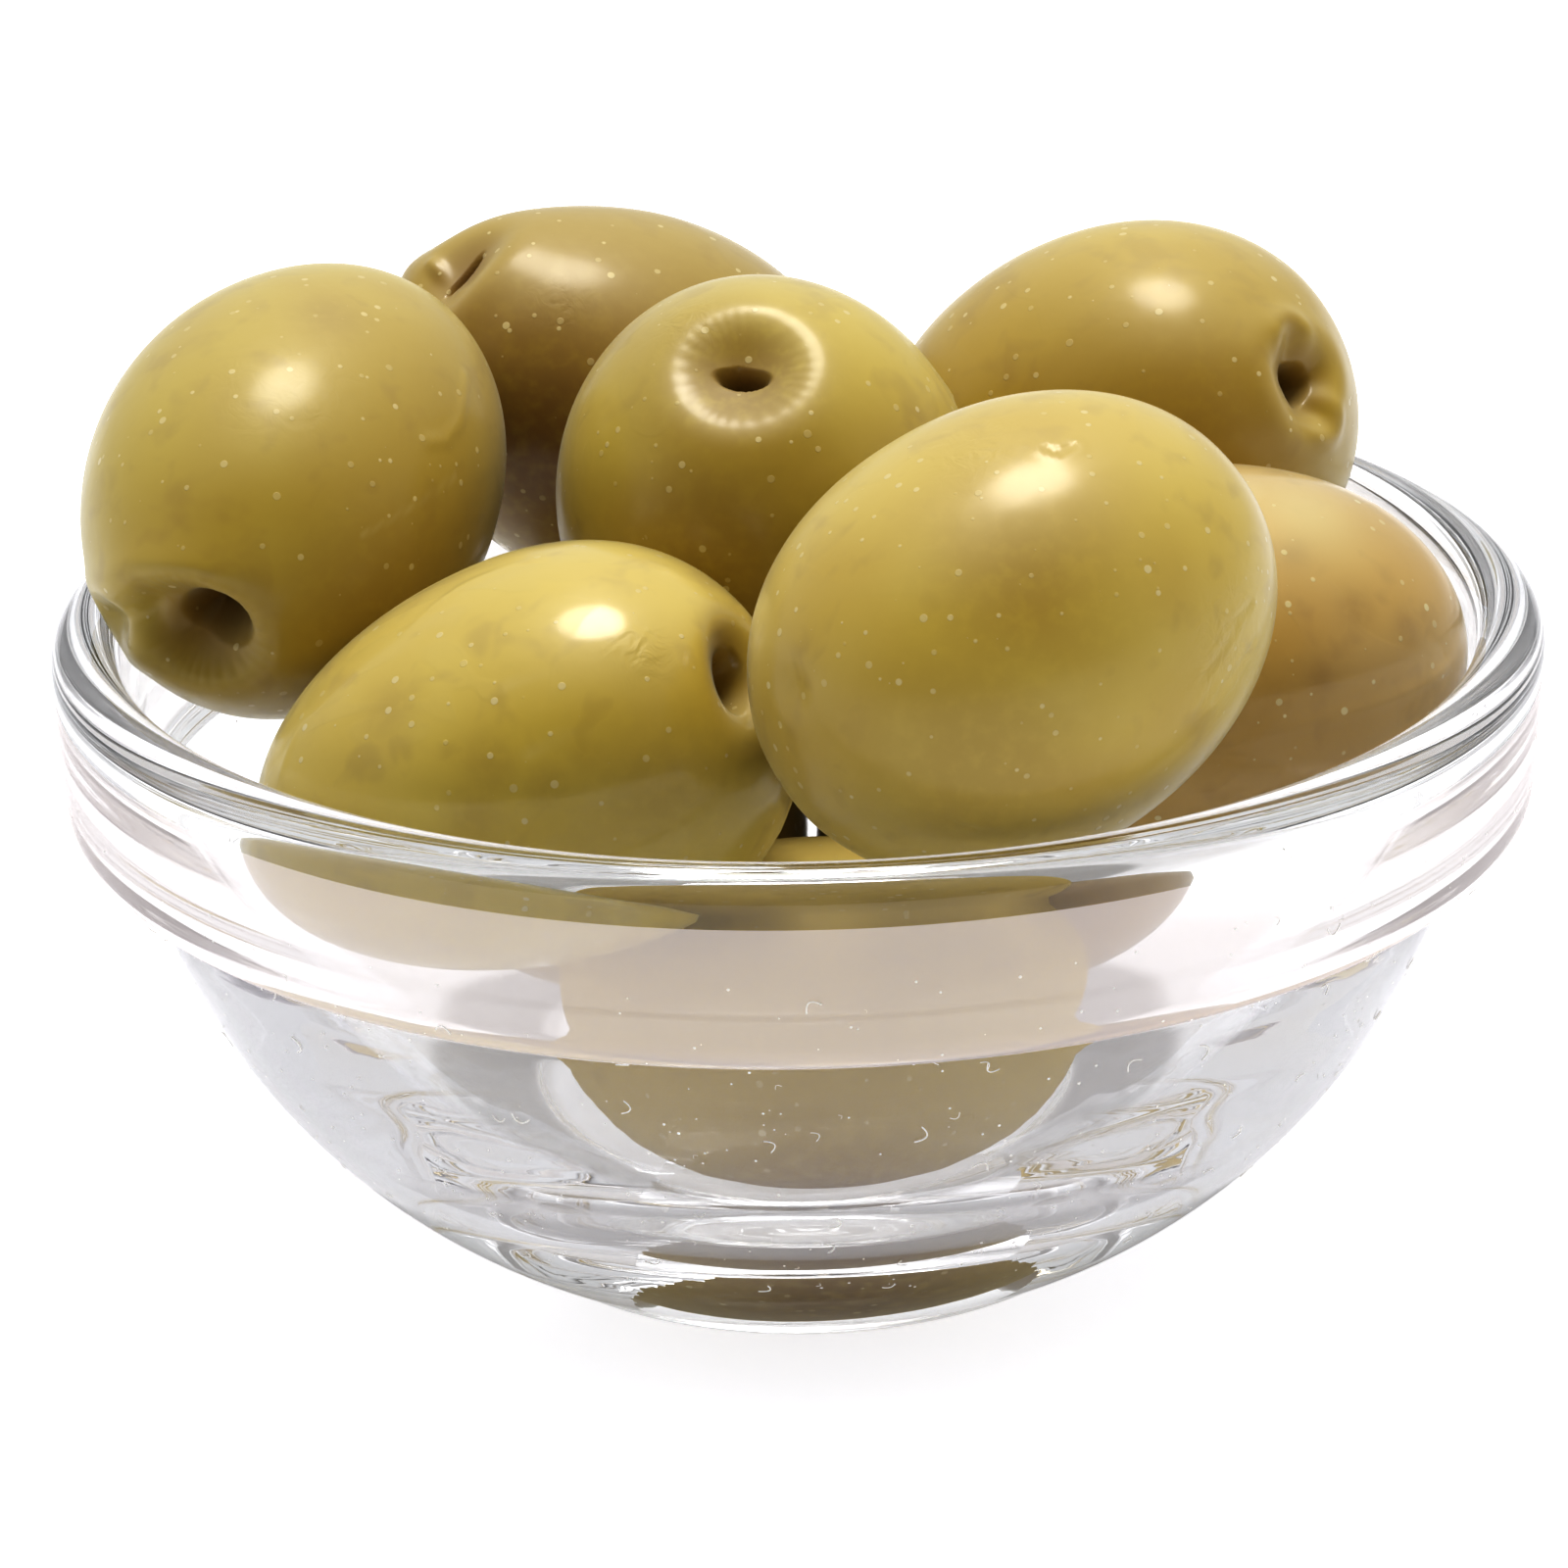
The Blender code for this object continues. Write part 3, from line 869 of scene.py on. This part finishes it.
def wet_the_wall(mesh, olive, wet_index):
    """Gives the wetted faces their material, with wall points slid onto the edge of the brine."""
    points = np.empty(len(mesh.vertices) * 3)
    mesh.vertices.foreach_get("co", points)
    points = points.reshape(-1, 3)
    inner = inner_wall(points)
    reach = np.full(len(points), 1.0)
    reach[inner] = brine_reach(points[inner], olive)
    edges = np.empty(len(mesh.edges) * 2, dtype=np.int64)
    mesh.edges.foreach_get("vertices", edges)
    moved = points.copy()
    nearest = np.full(len(points), 0.5)
    for first, second in edges.reshape(-1, 2):
        if not (inner[first] and inner[second]) or reach[first] * reach[second] >= 0.0:
            continue
        share = reach[first] / (reach[first] - reach[second])
        if share > 0.5:
            first, second, share = second, first, 1.0 - share
        if share < nearest[first]:
            nearest[first] = share
            moved[first] = points[first] + (points[second] - points[first]) * share
    reach[nearest < 0.5] = 0.0
    mesh.vertices.foreach_set("co", moved.ravel())
    for face in mesh.polygons:
        corners = list(face.vertices)
        if inner[corners].all() and reach[corners].mean() < 0.0:
            face.material_index = wet_index
    mesh.update()


bowl.data.materials.append(glass_material("wetted_glass", GLASS_IOR / BRINE_IOR))
wet_the_wall(bowl.data, low_front_flesh, 1)


# Dust film on the outside of the glass
# The photographed bowl is not freshly wiped. A fine grey bloom lies on it, thick on the upright band
# and thin on the body, and a strip above the foot has been rubbed clean.
FILM_LIFT = 0.015 * MM
FILM_TOP = 24.6 * MM
FILM_FOOT = 4.6 * MM
INNER_MARGIN = 0.3 * MM
BAND_EDGE_LOW = BAND_FOOT_HEIGHT - 0.2 * MM
BAND_EDGE_HIGH = BAND_FOOT_HEIGHT + 0.6 * MM
WIPED_EASE = 3.6 * MM
BODY_DUST = (0.66, 0.62, 0.68)
BAND_DUST = (0.95, 0.88, 0.87)
BODY_COVER = 0.10
BAND_COVER = 0.42
DUST_GLOW = 0.36


def outer_film(name, top, foot, lift):
    """A thin sheet that follows the outside of the bowl between two heights."""
    sheet = bmesh.new()
    sheet.from_mesh(bowl.data)
    sheet.normal_update()
    centre = Vector((0.0, 0.0, INNER_HEIGHT))
    spare = []
    for face in sheet.faces:
        middle = face.calc_center_median()
        if (middle - centre).length < INNER_RADIUS + INNER_MARGIN or not foot < middle.z < top:
            spare.append(face)
    bmesh.ops.delete(sheet, geom=spare, context="FACES")
    for point in sheet.verts:
        point.co += point.normal * lift
    mesh = bpy.data.meshes.new(name)
    sheet.to_mesh(mesh)
    sheet.free()
    mesh.materials.clear()
    mesh.shade_smooth()
    return new_object(name, mesh)


def bloom_material():
    """Grey dust: nearly clear on the body, thicker on the band, wiped off above the foot."""
    bloom = new_material("grey_bloom")
    tree = bloom.node_tree
    place = add_node(tree, "ShaderNodeTexCoord").outputs["Object"]
    height = add_node(tree, "ShaderNodeSeparateXYZ", {0: place}).outputs["Z"]
    on_band = ramp(tree, height, BAND_EDGE_LOW, BAND_EDGE_HIGH)
    wiped = ramp(tree, height, FILM_FOOT, FILM_FOOT + WIPED_EASE, 0.0, BODY_COVER)
    tone = add_node(tree, "ShaderNodeMix", {
        "Factor": on_band,
        6: (*BODY_DUST, 1.0),
        7: (*BAND_DUST, 1.0),
    }, data_type="RGBA").outputs[2]
    cover = add_node(tree, "ShaderNodeMix", {0: on_band, 2: wiped, 3: BAND_COVER}).outputs[0]
    # a faint glow stands for the light that dust lets through from behind
    set_shader(bloom, {
        "Base Color": tone,
        "Roughness": 1.0,
        "Specular IOR Level": 0.0,
        "Emission Color": tone,
        "Emission Strength": DUST_GLOW,
        "Alpha": cover,
    })
    return bloom


dust_film = outer_film("dust_film", FILM_TOP, FILM_FOOT, FILM_LIFT)
dust_film.data.materials.append(bloom_material())
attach(dust_film, "root")


# Dust specks and lint on the glass
# Specks of dust and short curled fibres from a cloth stick to the outside of the glass. A speck
# is about a tenth of a millimetre across, and the longest fibre is about a millimetre.
LINT_LIFT = 0.03 * MM
LINT_TOP = 22.5 * MM
LINT_FOOT = 5.0 * MM
STREWING = {
    "Specks per m2": 250000.0,
    "Fibres per m2": 60000.0,
    "Speck Radius": 0.00005,
    "Fibre Radius": 0.000022,
    "Fibre Length": 0.0006,
    "Seed": 5,
}


def lint_tree(name, finish):
    """Geometry nodes that strew specks and curled fibres over the sheet they are given."""
    tree = node_group(name, "GeometryNodeTree", {"Glass": None, **STREWING}, {"Lint": "Geometry"})
    given = add_node(tree, "NodeGroupInput").outputs

    def strew(density, piece, low, high, seed_step):
        """Copies of one piece at random places of the glass, each turned and sized by chance."""
        seed = maths(tree, "ADD", given["Seed"], seed_step)
        spread = add_node(tree, "GeometryNodeDistributePointsOnFaces", {
            "Mesh": given["Glass"],
            "Density": given[density],
            "Seed": seed,
        })
        spin = add_node(tree, "FunctionNodeRandomValue", {
            "Min": (0.0, 0.0, 0.0),
            "Max": (0.0, 0.0, math.tau),
            "Seed": seed,
        }, data_type="FLOAT_VECTOR")
        size = add_node(tree, "FunctionNodeRandomValue", {2: low, 3: high, "Seed": seed}, data_type="FLOAT")
        put = add_node(tree, "GeometryNodeInstanceOnPoints", {
            "Points": spread.outputs["Points"],
            "Instance": piece,
            "Rotation": spread.outputs["Rotation"],
            "Scale": size.outputs[1],
        })
        turn = {"Instances": put.outputs["Instances"], "Rotation": spin.outputs[0]}
        return add_node(tree, "GeometryNodeRotateInstances", turn).outputs["Instances"]

    speck = add_node(tree, "GeometryNodeMeshIcoSphere", {"Subdivisions": 1, "Radius": given["Speck Radius"]})
    flake = add_node(tree, "GeometryNodeTransform", {
        "Geometry": speck.outputs["Mesh"],
        "Scale": (1.0, 1.0, 0.2),
    })
    curl = add_node(tree, "GeometryNodeCurveQuadraticBezier", {
        "Resolution": 10,
        "Start": (-0.5, 0.0, 0.0),
        "Middle": (0.1, 0.75, 0.0),
        "End": (0.35, -0.15, 0.05),
    })
    length = {axis: given["Fibre Length"] for axis in "XYZ"}
    long = add_node(tree, "GeometryNodeTransform", {
        "Geometry": curl.outputs["Curve"],
        "Scale": add_node(tree, "ShaderNodeCombineXYZ", length).outputs["Vector"],
    })
    ring = add_node(tree, "GeometryNodeCurvePrimitiveCircle", {
        "Resolution": 5,
        "Radius": given["Fibre Radius"],
    })
    thread = add_node(tree, "GeometryNodeCurveToMesh", {
        "Curve": long.outputs["Geometry"],
        "Profile Curve": ring.outputs["Curve"],
        "Fill Caps": True,
    })
    join = add_node(tree, "GeometryNodeJoinGeometry")
    for piece in (
        strew("Specks per m2", flake.outputs["Geometry"], 0.5, 1.6, 0),
        strew("Fibres per m2", thread.outputs["Mesh"], 0.25, 1.5, 7),
    ):
        tree.links.new(piece, join.inputs["Geometry"])
    real = add_node(tree, "GeometryNodeRealizeInstances", {"Geometry": join.outputs["Geometry"]})
    coat = add_node(tree, "GeometryNodeSetMaterial", {"Geometry": real.outputs[0], "Material": finish})
    add_node(tree, "NodeGroupOutput", {"Lint": coat.outputs["Geometry"]})
    return tree


def lint_material():
    """Pale lint, with a faint glow for the light that a thin fibre lets through from behind."""
    lint = new_material("pale_lint")
    set_shader(lint, {
        "Base Color": (0.90, 0.88, 0.84, 1.0),
        "Roughness": 0.9,
        "Emission Color": (0.95, 0.93, 0.90, 1.0),
        "Emission Strength": 0.22,
    })
    return lint


carrier = outer_film("lint_carrier", LINT_TOP, LINT_FOOT, LINT_LIFT)
pale_lint = lint_material()
lint_nodes = carrier.modifiers.new("Strew", "NODES")
lint_nodes.node_group = lint_tree("strewn_lint", pale_lint)
set_inputs(lint_nodes, STREWING)
specks = plain_mesh(carrier, "dust_and_lint")
specks.data.materials.clear()
specks.data.materials.append(pale_lint)
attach(specks, "root")


# Floor, light and backdrop
# A plain painted white table, a hair below the bowl's foot. One large soft lamp hangs over it, and a
# pale room stands all round, darker on the camera's side.
FLOOR_RADIUS = 4.0
FLOOR_HEIGHT = -0.0002
FILM_GAMMA = 0.72
LAMP_PLACE = (0.02, 0.06, 0.60)
LAMP_AIM = (0.0, 0.0, 0.03)
LAMP_SIZE = (0.26, 0.24)
LAMP_POWER = 2.4
TABLE_WHITE = (0.62, 0.62, 0.63)
TABLE_GLOW_COLOUR = (0.97, 0.97, 1.0)
TABLE_GLOW = 0.85
TABLE_UPLIGHT = 0.48
TABLE_SHINE = 0.66
CONTACT_SHINE = 0.20
CONTACT_MIDDLE = 15.4 * MM
CONTACT_CORE = 2.2 * MM
CONTACT_REACH = 3.8 * MM
ROOM_DARK = 0.06
ROOM_BRIGHT = 0.80
ROOM_COLOUR = (0.97, 0.98, 1.0)
DARK_CORE = -0.80
DARK_EDGE = -0.30


def make_floor():
    """A round table that looks evenly white, but throws little light and shine up at the undersides."""
    disc = bmesh.new()
    bmesh.ops.create_circle(disc, cap_ends=True, radius=FLOOR_RADIUS, segments=96)
    bmesh.ops.translate(disc, verts=disc.verts, vec=(0.0, 0.0, FLOOR_HEIGHT))
    mesh = bpy.data.meshes.new("floor")
    disc.to_mesh(mesh)
    disc.free()
    paint = new_material("white_table")
    tree = paint.node_tree
    path = add_node(tree, "ShaderNodeLightPath").outputs
    glow = add_node(tree, "ShaderNodeMapRange", {
        "Value": path["Is Diffuse Ray"],
        "To Min": TABLE_GLOW,
        "To Max": TABLE_UPLIGHT,
    })
    # the clear foot lets light through, so the bowl's shadow is a ring beside it, seen in the glass only
    place = add_node(tree, "ShaderNodeTexCoord").outputs["Object"]
    away = add_node(tree, "ShaderNodeVectorMath", {0: place}, operation="LENGTH").outputs["Value"]
    beside = maths(tree, "ABSOLUTE", maths(tree, "SUBTRACT", away, CONTACT_MIDDLE))
    shadow = ramp(tree, beside, CONTACT_CORE, CONTACT_REACH, CONTACT_SHINE, TABLE_SHINE)
    shine = add_node(tree, "ShaderNodeMapRange", {
        "Value": path["Is Glossy Ray"],
        "To Min": glow.outputs["Result"],
        "To Max": shadow,
    })
    set_shader(paint, {
        "Base Color": (*TABLE_WHITE, 1.0),
        "Roughness": 0.9,
        "Specular IOR Level": 0.0,
        "Emission Color": (*TABLE_GLOW_COLOUR, 1.0),
        "Emission Strength": shine.outputs["Result"],
    })
    mesh.materials.append(paint)
    floor = new_object("floor", mesh)


def make_lamp():
    """The soft oval lamp over the table."""
    lamp = bpy.data.lights.new("overhead_box", "AREA")
    lamp.shape = "ELLIPSE"
    lamp.size, lamp.size_y = LAMP_SIZE
    lamp.energy = LAMP_POWER
    holder = new_object("overhead_box", lamp)
    holder.location = LAMP_PLACE
    holder.rotation_euler = (Vector(LAMP_AIM) - Vector(LAMP_PLACE)).to_track_quat("-Z", "Y").to_euler()


def make_room():
    """The pale room, which darkens towards the camera's side."""
    world = bpy.data.worlds.new("pale_room")
    bpy.context.scene.world = world
    world.use_nodes = True
    tree = world.node_tree
    place = add_node(tree, "ShaderNodeTexCoord").outputs["Generated"]
    depth = add_node(tree, "ShaderNodeSeparateXYZ", {0: place}).outputs["Y"]
    strength = ramp(tree, depth, DARK_CORE, DARK_EDGE, ROOM_DARK, ROOM_BRIGHT)
    back = tree.nodes["Background"]
    back.inputs["Color"].default_value = (*ROOM_COLOUR, 1.0)
    tree.links.new(strength, back.inputs["Strength"])


make_floor()
make_lamp()
make_room()
view = bpy.context.scene.view_settings
view.view_transform = "Standard"
view.gamma = FILM_GAMMA
light_paths = bpy.context.scene.cycles
light_paths.max_bounces = 24
light_paths.diffuse_bounces = 2
light_paths.glossy_bounces = 20
light_paths.transmission_bounces = 20
